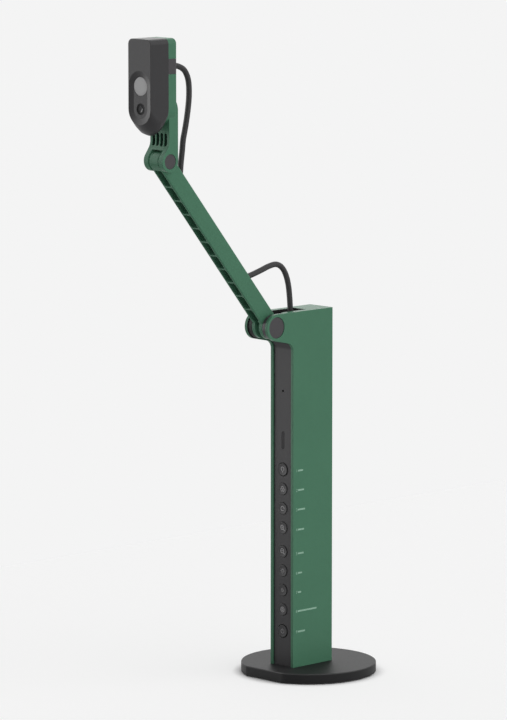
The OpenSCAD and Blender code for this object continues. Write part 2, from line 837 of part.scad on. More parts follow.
module head_back() {
  color(green) at_head() difference() {
    union() {
      back_piece(0, port_low);
      across(neck_w) neck_side();
    }
    block(2 * clevis_in, [-2 * head_ear_r, -2 * head_ear_r], [2 * head_ear_r, web_up]);
    rod_x(head_axle_d / 2 + slip, -neck_w, neck_w);
    for (x = [0, 1]) mirror([x, 0, 0]) rod_x(cap_r + slip, cap_in, neck_w);
    for (i = [0:vent_count - 1])
      translate([(i - (vent_count - 1) / 2) * vent_pitch, neck_y + vent_depth, vent_up])
        rotate([90, 0, 0]) linear_extrude(vent_depth + head_depth) slot(vent_w, vent_l);
  }
}

module light_diffuser() {
  color("#b9b9b9") at_head() translate([0, 0, light_up]) {
    rod_y(light_d / 2, dish_y, cavity_y + slip);
    rod_y(light_d / 2 + rim_w, cavity_y + slip, cavity_y + slip + rim_t);
  }
}

module light_board() {
  y = cavity_y + slip + rim_t + lamp_h + slip;
  color(board) at_head() translate([0, 0, light_up]) {
    block(small_board_w, [y, -light_board_h / 2], [y + small_board_t, light_board_h / 2]);
    for (x = [-1, 1], z = [-1, 1]) translate([x * lamp_pitch / 2, 0, z * lamp_pitch / 2])
      block(lamp_w, [y - lamp_h, -lamp_w / 2], [y, lamp_w / 2]);
  }
}

module lens_barrel() {
  color("#1c1c1e") at_head() translate([0, 0, lens_up]) difference() {
    rod_y(barrel_d / 2, dish_y, dish_y + barrel_l);
    rod_y(lens_d / 2 + slip, dish_y - past, dish_y + glass_sunk + glass_t);
    rod_y(iris_d / 2, dish_y, dish_y + barrel_l + past);
  }
}

// Disc with a domed front
module lens_glass() {
  color("#15181c") at_head() translate([0, dish_y + glass_sunk, lens_up]) rotate([-90, 0, 0])
    rotate_extrude() intersection() {
      translate([0, glass_dome_r]) circle(glass_dome_r);
      square([lens_d / 2, glass_t]);
    }
}

module sensor_board() {
  y = dish_y + barrel_l;
  color(board) at_head() translate([0, 0, lens_up]) intersection() {
    block(small_board_w, [y, -cavity_r], [y + small_board_t, sensor_board_h / 2]);
    rod_y(cavity_r - board_gap, y, y + small_board_t);
  }
}

module head_axle() {
  color(metal) at_head() rod_x(head_axle_d / 2, -cap_in, cap_in);
}

module axle_cap(turn) {
  color(dark) at_head() rotate([0, 0, turn]) rod_x(cap_r, cap_in, cap_out);
}

base_plate();
base_pad();
base_screws();
column_shell();
front_panel();
button(8);  // light_button
button(7);  // filter_button
button(6);  // rotate_button
button(5);  // zoom_in_button
button(4);  // zoom_out_button
button(3);  // brighter_button
button(2);  // darker_button
button(1);  // focus_button
button(0);  // power_button
control_board();
tact_switches();
microphone();
indicator_lens();
main_board();
usb_socket();
cable_clamp();
hinge_hub(180);  // left_hinge_hub
hinge_hub(0);  // right_hinge_hub
arm_axle();
arm_beam();
arm_bush();
arm_cable();
head_housing();
head_cap();
cable_port();
head_back();
light_diffuser();
light_board();
lens_barrel();
lens_glass();
sensor_board();
head_axle();
axle_cap(180);  // left_axle_cap
axle_cap(0);  // right_axle_cap
lower_cable();
upper_cable();
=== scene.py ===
# %% [markdown]
# # A book scanner, dressed around its solids
# The scanner is a camera on a slim green column with a round foot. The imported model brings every
# solid in its place, in metres, with +Z up and the buttons and the lens facing -Y. This lesson adds
# what the solids leave out: rounded edges, finishes, cables, marks and the lens.

# %% Load the frame
import json
import math

import bmesh
import bpy
from mathutils import Euler, Matrix, Vector

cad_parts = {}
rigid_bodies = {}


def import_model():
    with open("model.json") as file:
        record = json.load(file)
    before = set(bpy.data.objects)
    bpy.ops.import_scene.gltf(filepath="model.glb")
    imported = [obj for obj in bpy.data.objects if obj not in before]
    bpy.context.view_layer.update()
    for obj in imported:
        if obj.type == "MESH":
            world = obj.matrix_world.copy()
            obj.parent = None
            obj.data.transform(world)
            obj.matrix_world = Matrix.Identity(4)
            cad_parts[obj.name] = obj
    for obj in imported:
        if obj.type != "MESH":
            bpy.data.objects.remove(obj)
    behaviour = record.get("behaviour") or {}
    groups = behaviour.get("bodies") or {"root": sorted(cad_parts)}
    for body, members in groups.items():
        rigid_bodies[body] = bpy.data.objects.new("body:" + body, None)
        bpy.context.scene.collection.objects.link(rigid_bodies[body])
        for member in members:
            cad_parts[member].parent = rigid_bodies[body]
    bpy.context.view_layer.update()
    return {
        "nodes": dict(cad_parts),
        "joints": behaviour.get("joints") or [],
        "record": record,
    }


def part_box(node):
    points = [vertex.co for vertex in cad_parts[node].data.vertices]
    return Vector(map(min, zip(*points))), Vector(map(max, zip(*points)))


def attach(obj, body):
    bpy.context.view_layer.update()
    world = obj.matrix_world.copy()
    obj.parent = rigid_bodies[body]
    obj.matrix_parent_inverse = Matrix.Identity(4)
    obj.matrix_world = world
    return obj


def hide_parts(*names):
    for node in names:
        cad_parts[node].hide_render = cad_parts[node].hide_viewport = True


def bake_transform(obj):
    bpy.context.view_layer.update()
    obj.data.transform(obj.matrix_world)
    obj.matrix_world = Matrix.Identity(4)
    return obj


for leftover in list(bpy.data.objects):
    bpy.data.objects.remove(leftover)

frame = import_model()
nodes = frame["nodes"]
scene = bpy.context.scene
MM = 0.001

# %% [markdown]
# ## The camera
# The photograph looks at the scanner from its front right and a little from above, from far away
# with a long lens, so the upright edges stay upright. A constraint could aim the camera, but two
# angles, a distance and the point in the middle of the view say the same in plain numbers.

# %% Camera
SENSOR = 36
LONG_SIDE_PX = 720
FOCAL_PX = 4661.9
view_middle = Vector((0.0060, -0.0610, 0.2302))
round_to_right, look_down, view_distance = math.radians(45.34), math.radians(8.17), 3.24

lens_data = bpy.data.cameras.new("photo_camera")
lens_data.sensor_width = SENSOR
lens_data.lens = FOCAL_PX / LONG_SIDE_PX * SENSOR
photo_camera = bpy.data.objects.new("photo_camera", lens_data)
photo_camera.rotation_euler = Euler((math.pi / 2 - look_down, 0, round_to_right))
backwards = photo_camera.rotation_euler.to_matrix() @ Vector((0, 0, 1))
photo_camera.location = view_middle + view_distance * backwards
scene.collection.objects.link(photo_camera)
scene.camera = photo_camera
print("camera at", [round(x, 3) for x in photo_camera.location], "lens", round(lens_data.lens, 1), "mm")

# %% [markdown]
# ## The two cable loops
# A thin round cable leaves the top of the column, arches over the hinge and dives into the arm; a second
# one comes out of the arm and rises into the band of the head. Each hangs free between two pieces that
# turn against each other. A bevelled curve would draw it, but a curve can't bend between two bodies, so
# the curve is turned into a mesh tube. The routes repeat the points of the solids. Two points are given
# for where the turning of a hinge would start and end along each tube, for the lower tube taking in the
# whole loop, and the two bodies it joins are named with it, but nothing below reads them.

# %% Cables
CABLE_D = 4.0 * MM
ROUTE_STEPS = 4
CABLE_ROUND = 6


def on_middle_plane(pivot, route):
    """Points in the plane X = 0 from [y, z] pairs in millimetres, measured from a pivot."""
    return [Vector((0, pivot[0] + y * MM, pivot[1] + z * MM)) for y, z in route]


def smooth_route(points, steps):
    """Points on a Catmull-Rom curve through the given ones."""
    ends = [2 * points[0] - points[1], *points, 2 * points[-1] - points[-2]]
    fine = []
    for a, b, c, d in zip(ends, ends[1:], ends[2:], ends[3:]):
        for i in range(steps):
            t = i / steps
            fine.append(0.5 * (2 * b + (c - a) * t + (2 * a - 5 * b + 4 * c - d) * t ** 2
                               + (3 * b - a - 3 * c + d) * t ** 3))
    return fine + [points[-1]]


def cable_tube(name, points):
    """A round mesh tube along the points, with closed ends."""
    curve = bpy.data.curves.new(name, "CURVE")
    curve.dimensions = "3D"
    curve.bevel_depth = CABLE_D / 2
    curve.bevel_resolution = CABLE_ROUND
    curve.use_fill_caps = True
    line = curve.splines.new("POLY")
    line.points.add(len(points) - 1)
    for spot, p in zip(line.points, points):
        spot.co = (*p, 1)
    drawn = bpy.data.objects.new(name + "_line", curve)
    scene.collection.objects.link(drawn)
    bpy.context.view_layer.update()
    mesh = bpy.data.meshes.new_from_object(drawn.evaluated_get(bpy.context.evaluated_depsgraph_get()))
    bpy.data.objects.remove(drawn)
    mesh.name = name
    for face in mesh.polygons:
        face.use_smooth = len(face.vertices) == 4
    tube = bpy.data.objects.new(name, mesh)
    scene.collection.objects.link(tube)
    return tube


joint_at = {j["name"]: j.get("pos_m") for j in frame["joints"]}
lower_pivot, upper_pivot = joint_at["arm_pivot"][1:], joint_at["head_tilt"][1:]
lower_route = on_middle_plane(lower_pivot, [
    (24.7, 1), (24.5, 6.5), (24.2, 12), (23.5, 20), (22.2, 28), (19.6, 35.2), (15.6, 40.4), (10, 42.8),
    (3, 42), (-4.53, 39.88), (-12.02, 37.92), (-18.61, 36.45)])
upper_route = on_middle_plane(upper_pivot, [
    (4.55, 64.8), (9.6, 64.6), (14.4, 63.9), (18.4, 62.7), (21.8, 60.7), (24.2, 57.6), (25.8, 53.6),
    (26.5, 48.6), (26.5, 42), (25.7, 35), (24.4, 27.6), (22.8, 20.4), (20.9, 13), (19.90, 5.04),
    (18.81, -2.39), (17.96, -10.41)])
lower_bend = on_middle_plane(lower_pivot, [(24.7, 1), (-22.35, 30.4)])
upper_bend = upper_route[-3], upper_route[1]
cables = {}
for name, route, first, second, bend in (("lower_loop", lower_route, "stand", "arm", lower_bend),
                                         ("upper_loop", upper_route[::-1], "arm", "head", upper_bend)):
    path = smooth_route(route, ROUTE_STEPS)
    tube = cable_tube(name, path)
    length = sum((b - a).length for a, b in zip(path, path[1:]))
    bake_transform(tube)
    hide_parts(name.replace("loop", "cable"))
    cables[name] = tube
    print(name, "length", round(length, 4), "m,", len(tube.data.vertices), "vertices")

# %% [markdown]
# ## The studio
# The photograph has an even, almost white ground without a horizon and only a narrow shadow at the
# foot. The world gives a little light from all round, a weak soft box hangs above and a strong one
# stands on the right. Two more only show as a sheen on smooth faces: one on the left and one behind.
# Area lamps would do, but a sun with a wide angle is as soft and needs no distance.
#
# The front of the head mirrors what lies a little below the horizon on its left, so an endless floor
# would hide the left lamp from it. That is why the floor ends not far to the left, where the world has
# the same pale tone.

# %% Floor, world and light
FLOOR_HALF, FLOOR_LEFT = 40, 0.45
FLOOR_DROP = 0.02 * MM
# The floor's paper in the painted shade beside the foot and beyond, its glow, and what rays between faces
# meet instead
PAPER_IN_PAINTED_SHADE, PAPER_FAR, FLOOR_GLOW, DIM = 0.95, 0.45, 0.586, 0.70
# Distances from the foot's middle between which the painted shade round the foot gives way to the glow,
# and a slight unevenness of them
PAINTED_FOOT_SHADE, SHADE_DRIFT, DRIFT_WIDTH = (48.5 * MM, 56 * MM), 2 * MM, 0.4
# The world as the camera sees it and as it lights the scene
PALE, SKY = 0.905, 0.35
# Name, strength, width in degrees, where it stands, and whether matt faces catch its light
SOFT_BOXES = (("top_box", 0.6, 80, (-0.30, 0.35, 0.88), True),
              ("right_box", 2.12, 100, (0.93, 0.28, 0.14), True),
              ("sheen_box", 2.5, 70, (-0.85, -0.45, 0.28), False),
              ("back_box", 0.34, 50, (-0.70, 0.68, 0.22), False))

floor_shape = bmesh.new()
bmesh.ops.create_grid(floor_shape, x_segments=1, y_segments=1, size=FLOOR_HALF)
bmesh.ops.translate(floor_shape, vec=(FLOOR_HALF - FLOOR_LEFT, 0, -FLOOR_DROP), verts=floor_shape.verts)
floor_mesh = bpy.data.meshes.new("studio_floor")
floor_shape.to_mesh(floor_mesh)
studio_floor = bpy.data.objects.new("studio_floor", floor_mesh)
scene.collection.objects.link(studio_floor)

for name, power, width, source, lights_all in SOFT_BOXES:
    lamp = bpy.data.lights.new(name, "SUN")
    lamp.energy = power
    lamp.angle = math.radians(width)
    soft_box = bpy.data.objects.new(name, lamp)
    soft_box.rotation_euler = Vector(source).to_track_quat("Z", "Y").to_euler()
    soft_box.visible_diffuse = lights_all
    scene.collection.objects.link(soft_box)
scene.view_settings.view_transform = "Standard"
print("soft boxes:", len(SOFT_BOXES))

# %% [markdown]
# ## Writing finishes as sums
# A finish is a small net of nodes. Linking nodes one by one hides the idea, so one class wraps a
# socket: sums on it add Math nodes, and one method adds any other node.

# %% A socket that takes part in sums
# A Mix node has a set of sockets for each kind of value. These are the ones for colours.
MIX_BY, MIX_FIRST, MIX_SECOND, MIX_RESULT = 0, 6, 7, 2
# Most of a noise lies between these values
NOISE_SPAN = (0.3, 0.7)


class Wire:
    """An output of a node tree. Sums on wires and numbers add Math nodes."""

    def __init__(self, tree, socket=None):
        self.tree, self.socket = tree, socket

    def add(self, kind, settings=None, sockets=None, out=0):
        """Adds a node of any kind: first its settings, then the values or links of its sockets."""
        node = self.tree.nodes.new("ShaderNode" + kind)
        for name, value in (settings or {}).items():
            setattr(node, name, value)
        for name, value in (sockets or {}).items():
            if isinstance(value, Wire):
                self.tree.links.new(value.socket, node.inputs[name])
            else:
                node.inputs[name].default_value = value
        return Wire(self.tree, node.outputs[out])

    def sum(self, operation, first, second):
        """One Math node."""
        return self.add("Math", {"operation": operation}, {0: first, 1: second})

    def __add__(self, other):
        return self.sum("ADD", self, other)

    __radd__ = __add__

    def __sub__(self, other):
        return self.sum("SUBTRACT", self, other)

    def __mul__(self, other):
        return self.sum("MULTIPLY", self, other)

    __rmul__ = __mul__

    def __truediv__(self, other):
        return self.sum("DIVIDE", self, other)

    def between(self, low, high):
        """This value stretched so that low becomes 0 and high becomes 1, and held there."""
        return self.add("MapRange", {"clamp": True}, {"Value": self, "From Min": low, "From Max": high})

    def blend(self, first, second):
        """One colour where this mask is 0 and another where it is 1."""
        sockets = {MIX_BY: self, MIX_FIRST: first, MIX_SECOND: second}
        return self.add("Mix", {"data_type": "RGBA"}, sockets, out=MIX_RESULT)

    def place(self):
        """Where a point lies on its object, in metres."""
        return self.add("TexCoord", out="Object")

    def length(self, arrow):
        """The length of an arrow."""
        return self.add("VectorMath", {"operation": "LENGTH"}, {0: arrow}, out="Value")

    def rubbed(self):
        """1 on the rounds of the edges and 0 elsewhere; the finishes paint these paler, as wear and as a
        painted highlight.
        """
        return self.add("Attribute", {"attribute_name": "rub_and_highlight"}, out="Fac")

    def bump(self, height, strength, depth):
        """A surface that rises with a pattern."""
        return self.add("Bump", None, {"Strength": strength, "Distance": depth, "Height": height})

    def noise(self, place, size, detail=2.0, roughness=0.5):
        """A cloudy pattern with spots of about the given size in metres."""
        return self.add("TexNoise", None, {"Vector": place, "Scale": 1 / size, "Detail": detail,
                                           "Roughness": roughness})


def shade(colour, factor):
    """A colour made lighter or darker, with full opacity."""
    return (*(min(1.0, c * factor) for c in colour), 1)


def new_finish(name):
    """An empty material, its shader, and a first wire to add nodes with."""
    finish = bpy.data.materials.new(name)
    finish.use_nodes = True
    shader = finish.node_tree.nodes["Principled BSDF"]
    return finish, shader, Wire(finish.node_tree)


def feed(shader, **sockets):
    """Links wires or sets constants on the shader's own sockets, named with _ for a space."""
    for name, value in sockets.items():
        socket = shader.inputs[name.replace("_", " ")]
        if isinstance(value, Wire):
            value.tree.links.new(value.socket, socket)
        else:
            socket.default_value = value


print("sums ready")

# %% [markdown]
# ## Moulded plastic
# The green shell and the dark parts are injection moulded, with the fine sparked grain of the mould on
# every face. The colour drifts a little over the length of a part, the gloss varies in spots of a few
# millimetres, and the rounded edges are painted slightly paler, partly as wear where hands rub and partly
# as a painted highlight along each edge. The grain is a bump of noise a quarter of a millimetre wide; the
# paler edges come from an attribute that the rounding of the edges leaves behind.

# %% Plastic finishes
DRIFT_SIZE, SPOT_SIZE = 45 * MM, 4 * MM


def moulded(name, colour, roughness=0.36, grain=0.25 * MM, depth=0.010 * MM, drift=0.05, rub_and_highlight=0.12,
            gloss=0.2):
    """Satin plastic with a sparked grain, a slow drift of colour and paler edges, partly wear and partly
    a painted highlight.
    """
    finish, shader, wire = new_finish(name)
    place = wire.place()
    slow = wire.noise(place, DRIFT_SIZE, 2)
    spots = wire.noise(place, SPOT_SIZE, 3)
    fine = wire.noise(place, grain, 1, 0.4)
    rubbed = wire.rubbed()
    mottled = (slow * 0.7 + spots * 0.3).between(*NOISE_SPAN)
    plain = mottled.blend(shade(colour, 1 - drift), shade(colour, 1 + drift))
    # Rounded edges painted paler: partly wear, partly a painted highlight
    worn_and_highlit = (rubbed * (0.55 + 0.9 * spots) * rub_and_highlight).blend(plain, shade(tuple(c + 0.06 for c in colour), 1.6))
    bump = wire.bump(fine, 0.5, depth)
    feed(shader, Base_Color=worn_and_highlit, Roughness=roughness - 0.015 + 0.03 * spots - 0.04 * rubbed,
         Normal=bump, Specular_IOR_Level=gloss)
    return finish


green_plastic = moulded("green_plastic", (0.068, 0.187, 0.114), gloss=0.12)
head_dark = moulded("head_dark", (0.034, 0.0332, 0.035))
panel_dark = moulded("panel_dark", (0.034, 0.033, 0.035), roughness=0.42)
hub_dark = moulded("hub_dark", (0.062, 0.059, 0.063))
button_dark = moulded("button_dark", (0.040, 0.039, 0.041))
black_plastic = moulded("black_plastic", (0.012, 0.012, 0.0125), roughness=0.55)
# A darker green as painted shade for the walls inside the vents
vent_painted_shade = moulded("vent_painted_shade", (0.020, 0.056, 0.036), roughness=0.6)
print("plastics:", green_plastic.name, head_dark.name, panel_dark.name, hub_dark.name)

# %% [markdown]
# ## Paint, rubber, metal and the rest
# The foot is a steel plate with a powder coat, which is a little lumpy like orange peel. The pad and
# the cables are rubber. Axles are turned, so their gloss runs in rings, and the boards carry copper
# tracks under green lacquer. Most of these sit inside, but each still gets its own surface.

# %% Other finishes
def powder_coat(name, colour):
    """Baked powder paint: soft lumps and a finer grain on top."""
    finish, shader, wire = new_finish(name)
    place = wire.place()
    lumps = wire.noise(place, 0.7 * MM, 2)
    fine = wire.noise(place, 0.2 * MM, 1)
    slow = wire.noise(place, 30 * MM, 2)
    rubbed = wire.rubbed()
    plain = slow.between(*NOISE_SPAN).blend(shade(colour, 0.93), shade(colour, 1.07))
    # Rounded edges painted paler: partly wear, partly a painted highlight
    worn_and_highlit = (rubbed * (0.5 + slow) * 0.35).blend(plain, shade(tuple(c + 0.05 for c in colour), 1.8))
    bump = wire.bump(lumps * 0.7 + fine * 0.3, 0.6, 0.02 * MM)
    feed(shader, Base_Color=worn_and_highlit, Roughness=0.46 + 0.12 * lumps, Normal=bump, Specular_IOR_Level=0.17)
    return finish


def rubber(name, colour, roughness=0.7):
    """Matt rubber with a dry bloom in places."""
    finish, shader, wire = new_finish(name)
    place = wire.place()
    bloom = wire.noise(place, 6 * MM, 4, 0.6)
    fine = wire.noise(place, 0.3 * MM, 2)
    bump = wire.bump(fine, 0.4, 0.02 * MM)
    feed(shader, Base_Color=bloom.between(0.35, 0.75).blend(shade(colour, 0.9), shade(colour, 1.25)),
         Roughness=roughness - 0.08 + 0.16 * bloom, Normal=bump, Specular_IOR_Level=0.35)
    return finish


def turned_metal(name, colour, roughness=0.28, tarnish=0.12):
    """Metal with fine lines across X, as a lathe leaves on a rod along X."""
    finish, shader, wire = new_finish(name)
    place = wire.place()
    stretched = wire.add("Mapping", None, {"Vector": place, "Scale": (40, 1, 1)})
    lines = wire.noise(stretched, 8 * MM, 4, 0.6)
    stain = wire.noise(place, 7 * MM, 3)
    bump = wire.bump(lines, 0.3, 0.01 * MM)
    feed(shader, Base_Color=(stain * tarnish).blend(shade(colour, 1), shade(colour, 0.4)),
         Roughness=roughness - 0.08 + 0.2 * lines, Normal=bump, Metallic=1.0)
    return finish


def lacquered_board(name):
    """Green solder lacquer over copper tracks."""
    finish, shader, wire = new_finish(name)
    place = wire.place()
    tracks = wire.add("TexBrick", {"offset": 0.3, "squash": 0.6, "squash_frequency": 3},
                      {"Vector": place, "Scale": 300.0, "Mortar Size": 0.025, "Mortar Smooth": 0.2},
                      out="Fac")
    cloud = wire.noise(place, 2 * MM, 3)
    lacquer = cloud.blend((0.010, 0.060, 0.026, 1), (0.016, 0.085, 0.038, 1))
    bump = wire.bump(tracks, 0.5, 0.03 * MM)
    feed(shader, Base_Color=(tracks * 0.8).blend(lacquer, (0.060, 0.170, 0.080, 1)),
         Roughness=0.32 + 0.15 * cloud, Normal=bump)
    return finish


foot_paint = powder_coat("foot_paint", (0.0105, 0.0105, 0.0110))
pad_rubber = rubber("pad_rubber", (0.014, 0.014, 0.0145), 0.8)
cable_rubber = rubber("cable_rubber", (0.028, 0.027, 0.028), 0.58)
steel = turned_metal("steel", (0.56, 0.57, 0.58))
brass = turned_metal("brass", (0.60, 0.42, 0.17), 0.24, 0.25)
circuit_board = lacquered_board("circuit_board")
for tube in cables.values():
    tube.data.materials.clear()
    tube.data.materials.append(cable_rubber)
print("finishes so far:", len(bpy.data.materials))

# %% [markdown]
# ## Frosted, smoked and clear plastic, and ink
# The light is a frosted disc over small lamps, so it is an even pale grey that dims a little towards
# its rim. The indicator window is smoked plastic, almost black and with hardly any shine. The lens
# glass has a hard shine over deep blue-black, and its barrel is a dull black that swallows stray
# light. Marks are pad printed in thin ink.

# %% Clear finishes and ink
RIM_SPAN = (0.55, 1.05)
LIGHT_R, WINDOW_HALF, LENS_R = 6.4 * MM, 6.3 * MM, 3.1 * MM


def smooth_plastic(name, inner, outer, radius, middle, roughness, gloss=0.5):
    """Fine smooth plastic that drifts from one colour at a middle to another at a radius from it."""
    finish, shader, wire = new_finish(name)
    place = wire.place()
    offset = wire.add("VectorMath", {"operation": "SUBTRACT"}, {0: place, 1: middle})
    away = wire.length(offset)
    cloud = wire.noise(place, 1.2 * MM, 3)
    rim = (away / radius + 0.12 * (cloud - 0.5)).between(*RIM_SPAN)
    feed(shader, Base_Color=rim.blend((*inner, 1), (*outer, 1)),
         Roughness=roughness + 0.08 * (cloud - 0.5), Specular_IOR_Level=gloss)
    return finish


def ink(name, colour):
    """Pad-printed ink, thin in places."""
    finish, shader, wire = new_finish(name)
    place = wire.place()
    thin = wire.noise(place, 0.5 * MM, 3)
    feed(shader, Base_Color=thin.between(*NOISE_SPAN).blend(shade(colour, 0.85), shade(colour, 1.08)),
         Roughness=0.5 + 0.1 * thin)
    return finish


def middle_of(node):
    """The middle of a solid's box."""
    low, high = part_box(node)
    return (low + high) / 2


frosted_plastic = smooth_plastic("frosted_plastic", (0.35, 0.35, 0.352), (0.31, 0.31, 0.313), LIGHT_R,
                                 middle_of("light_diffuser"), 0.5)
smoked_plastic = smooth_plastic("smoked_plastic", (0.021, 0.020, 0.0215), (0.017, 0.016, 0.0175),
                                WINDOW_HALF, middle_of("indicator_lens"), 0.42, 0.12)
lens_glass = smooth_plastic("lens_glass", (0.004, 0.005, 0.008), (0.010, 0.010, 0.013), LENS_R,
                            middle_of("lens_glass"), 0.12, 0.55)
lens_black = smooth_plastic("lens_black", (0.009, 0.009, 0.0093), (0.012, 0.012, 0.0125), LENS_R,
                            middle_of("lens_glass"), 0.6, 0.12)
side_ink = ink("side_ink", (0.260, 0.455, 0.340))
icon_ink = ink("icon_ink", (0.360, 0.353, 0.360))
faint_ink = ink("faint_ink", (0.190, 0.186, 0.190))
print("clear finishes:", frosted_plastic.name, smoked_plastic.name, lens_glass.name)

# %% [markdown]
# ## The floor's paper
# Seen by the camera, or mirrored in a smooth face, the floor is bright paper that glows a little, so its
# tone stays even away from the foot. Close round the foot the glow fades and the paper is darker, a ring
# of painted shade over the real shadow there. Rays that carry light from face to face meet a greyer
# floor, so that it doesn't light the object too much.

# %% Light the studio
studio_finish, studio_shader, wire = new_finish("studio_paper")
place = wire.place()


def seen_rays(wire):
    """1 for rays from the camera, from glossy faces and through glass, 0 for the rest."""
    rays = [wire.add("LightPath", out=f"Is {kind} Ray") for kind in ("Camera", "Glossy", "Transmission")]
    return wire.sum("MAXIMUM", wire.sum("MAXIMUM", rays[0], rays[1]), rays[2])


def grey(level):
    """A grey of a given brightness."""
    return (level, level, level, 1)


away = wire.length(place) + SHADE_DRIFT * wire.noise(place, DRIFT_WIDTH)
past_painted_shade = away.between(*PAINTED_FOOT_SHADE)
seen = seen_rays(wire)
# Close round the foot the paper is darker and has no glow: a ring of painted shade round the foot
paper = past_painted_shade.blend(grey(PAPER_IN_PAINTED_SHADE), grey(PAPER_FAR))
feed(studio_shader, Base_Color=seen.blend(grey(DIM), paper), Roughness=1.0, Specular_IOR_Level=0.0,
     Emission_Color=(seen * past_painted_shade).blend(grey(0), grey(FLOOR_GLOW)), Emission_Strength=1.0)
studio_floor.data.materials.append(studio_finish)

studio_world = bpy.data.worlds.new("studio_world")
studio_world.use_nodes = True
scene.world = studio_world
wire = Wire(studio_world.node_tree)
sky_colour = seen_rays(wire).blend(grey(SKY), grey(PALE))
background = studio_world.node_tree.nodes["Background"]
studio_world.node_tree.links.new(sky_colour.socket, background.inputs["Color"])
print("world light", SKY, "seen as", PALE)

# %% [markdown]
# ## Rounding the edges of the solids
# The solids have knife edges; real mouldings have none, and a small round on each edge catches the light
# as the thin bright line that makes a picture look real. Each shell starts as a copy of its solid: the
# loose triangles are merged, flat faces are joined again, and the bevel operator rounds the sharp edges.
# New faces of the rounds are marked in an attribute, which the finishes read to paint those edges paler,
# as wear and as a painted highlight.
# The walls of the dish round the light slope so little that smooth shading would blend them into the
# front of the head, so edges beside a level front face stay crisp from a smaller angle on.

# %% Rounded shells
WELD, FLAT = 0.02 * MM, math.radians(0.6)
SHARP = math.radians(25)
ROUND_STEPS = 2
# A corner is crowded if two edges leave it closer than this, or one is shorter than NEAR rounds
CROWDED, NEAR = math.cos(math.radians(20)), 1.2
# A face is a level front if its normal's Y is below LEVEL
LEVEL, DISH_CREASE = -0.9999, math.radians(12)


def uncrowded(edges, width):
    """Outer edges whose corners leave room for a round of this width."""
    free = set()
    for edge in edges:
        room = edge.calc_face_angle_signed(0) > 0
        for corner in edge.verts:
            along = (edge.other_vert(corner).co - corner.co).normalized()
            others = [e for e in corner.link_edges if e is not edge]
            room &= sum(e in edges for e in others) < 3
            room &= all(e in edges or e.calc_length() > NEAR * width for e in others)
            room &= all(along.dot((e.other_vert(corner).co - corner.co).normalized()) < CROWDED
                        for e in others)
        if room:
            free.add(edge)
    return free


def rounded_shell(node, finish, width, careful=False, crease=SHARP):
    """A copy of a solid with rounded edges, which stands for it on the same body."""
    copy = nodes[node].data.copy()
    if "custom_normal" in copy.attributes:
        copy.attributes.remove(copy.attributes["custom_normal"])
    shape = bmesh.new()
    shape.from_mesh(copy)
    bpy.data.meshes.remove(copy)
    bmesh.ops.remove_doubles(shape, verts=shape.verts, dist=WELD)
    bmesh.ops.dissolve_limit(shape, angle_limit=FLAT, verts=shape.verts, edges=shape.edges)
    edges = {e for e in shape.edges if e.is_manifold and e.calc_face_angle(0) > SHARP}
    if careful:
        edges = {e for e in edges if e.calc_face_angle_signed(0) > 0}
        edges = uncrowded(edges, width)
    made = bmesh.ops.bevel(shape, geom=list(edges), offset=width, offset_type="OFFSET",
                           segments=ROUND_STEPS, profile=0.5, affect="EDGES", clamp_overlap=False,
                           material=-1)
    # Marks the rounds, which the finishes paint paler as wear and as a painted highlight
    rub_and_highlight = shape.loops.layers.float.new("rub_and_highlight")
    rounds = set(made["faces"])
    for face in shape.faces:
        face.smooth = True
        face.material_index = 0
        for corner in face.loops:
            corner[rub_and_highlight] = 1.0 if face in rounds else 0.0
    for edge in shape.edges:
        turn = edge.calc_face_angle(0)
        level = any(face.normal.y < LEVEL for face in edge.link_faces)
        edge.smooth = turn < (crease if level else SHARP)
    return stand_in(node, shape, finish)


def stand_in(node, shape, finish, keep_normals=True):
    """Puts a finished bmesh in the scene in place of a solid, on the solid's body and with the given
    finish.
    """
    mesh = bpy.data.meshes.new(node + "_shell")
    shape.to_mesh(mesh)
    shape.free()
    mesh.materials.clear()
    mesh.materials.append(finish)
    piece = bpy.data.objects.new(node + "_shell", mesh)
    scene.collection.objects.link(piece)
    if keep_normals:
        even = piece.modifiers.new("even_normals", "WEIGHTED_NORMAL")
        even.keep_sharp = True
    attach(piece, body_of_node[node])
    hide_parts(node)
    print(piece.name, len(mesh.polygons), "faces")
    return piece


body_of_node = {n: b for b, members in frame["record"]["behaviour"]["bodies"].items() for n in members}

for node, finish, width in (
        ("base_plate", foot_paint, 0.25 * MM), ("base_pad", pad_rubber, 0.3 * MM),
        ("column_shell", green_plastic, 0.3 * MM), ("front_panel", panel_dark, 0.2 * MM),
        ("indicator_lens", smoked_plastic, 0.1 * MM), ("usb_socket", steel, 0.08 * MM),
        # The left hub takes black plastic as painted shade; the right hub, the same piece, keeps its dark
        # plastic
        ("left_hinge_hub", black_plastic, 0.3 * MM), ("right_hinge_hub", hub_dark, 0.3 * MM),
        ("head_cap", green_plastic, 0.2 * MM),
        ("cable_port", hub_dark, 0.2 * MM), ("head_back", green_plastic, 0.2 * MM),
        ("left_axle_cap", hub_dark, 0.2 * MM), ("right_axle_cap", hub_dark, 0.2 * MM)):
    rounded_shell(node, finish, width)
rounded_shell("arm_beam", green_plastic, 0.25 * MM, careful=True)
rounded_shell("head_housing", head_dark, 0.08 * MM, crease=DISH_CREASE)

# %% [markdown]
# ## The top of the arm
# The last opening in the arm's front reaches up to its round end, and a fine groove runs round that
# end beside the right ear. The walls of the opening are there already, so its upper end is only
# slid along the beam. For the groove the round face is cut three times and the middle cut pushed in.

